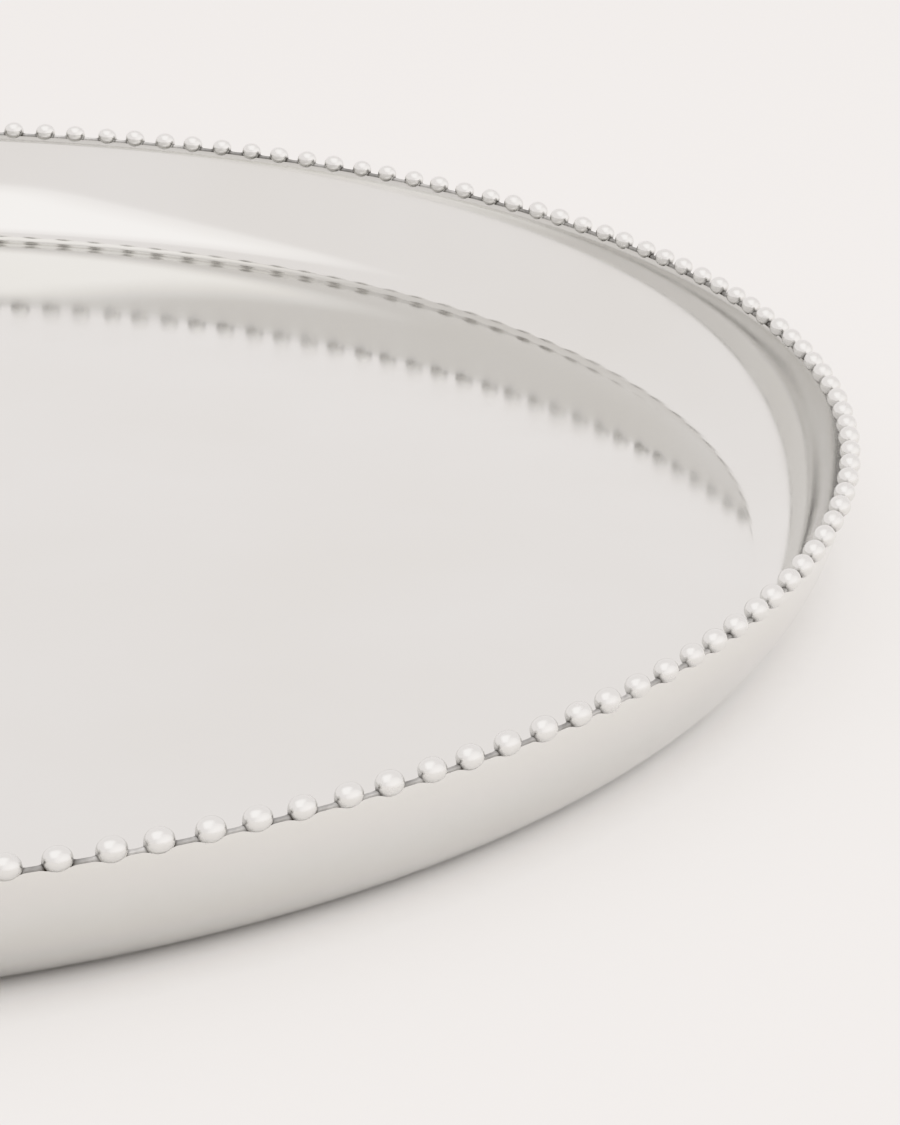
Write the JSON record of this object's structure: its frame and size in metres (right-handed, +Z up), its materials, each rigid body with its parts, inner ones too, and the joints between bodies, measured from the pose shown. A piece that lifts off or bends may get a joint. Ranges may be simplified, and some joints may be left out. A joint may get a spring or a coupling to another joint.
{
  "type": "silver salver",
  "caption": "Round mirror-polished salver: flat floor, curved upright wall, and a rim edged with small separate balls.",
  "frame": {"origin": "middle of the underside, on the plane that the salver stands on", "axes": "+Z up along the axis of the round tray; +X and +Y across it, equal by symmetry"},
  "size_m": [0.384, 0.384, 0.0238],
  "materials": {
    "tray_silver": "mirror-polished spun silver sheet with fine handling marks",
    "ball_silver": "polished silver balls soldered on a thin edging wire, greyer in the solder joints"
  },
  "bodies": {
    "root": {"tray_body": "tray_silver", "beaded_edging_01": "ball_silver", "beaded_edging_02": "ball_silver", "beaded_edging_03": "ball_silver", "beaded_edging_04": "ball_silver", "beaded_edging_05": "ball_silver", "beaded_edging_06": "ball_silver", "beaded_edging_07": "ball_silver", "beaded_edging_08": "ball_silver", "beaded_edging_09": "ball_silver", "beaded_edging_10": "ball_silver", "beaded_edging_11": "ball_silver", "beaded_edging_12": "ball_silver", "beaded_edging_13": "ball_silver", "beaded_edging_14": "ball_silver", "beaded_edging_15": "ball_silver", "beaded_edging_16": "ball_silver", "beaded_edging_17": "ball_silver", "beaded_edging_18": "ball_silver", "beaded_edging_19": "ball_silver", "beaded_edging_20": "ball_silver", "beaded_edging_21": "ball_silver", "beaded_edging_22": "ball_silver", "beaded_edging_23": "ball_silver", "beaded_edging_24": "ball_silver", "beaded_edging_25": "ball_silver", "beaded_edging_26": "ball_silver", "beaded_edging_27": "ball_silver", "beaded_edging_28": "ball_silver", "beaded_edging_29": "ball_silver"}
  },
  "joints": []
}
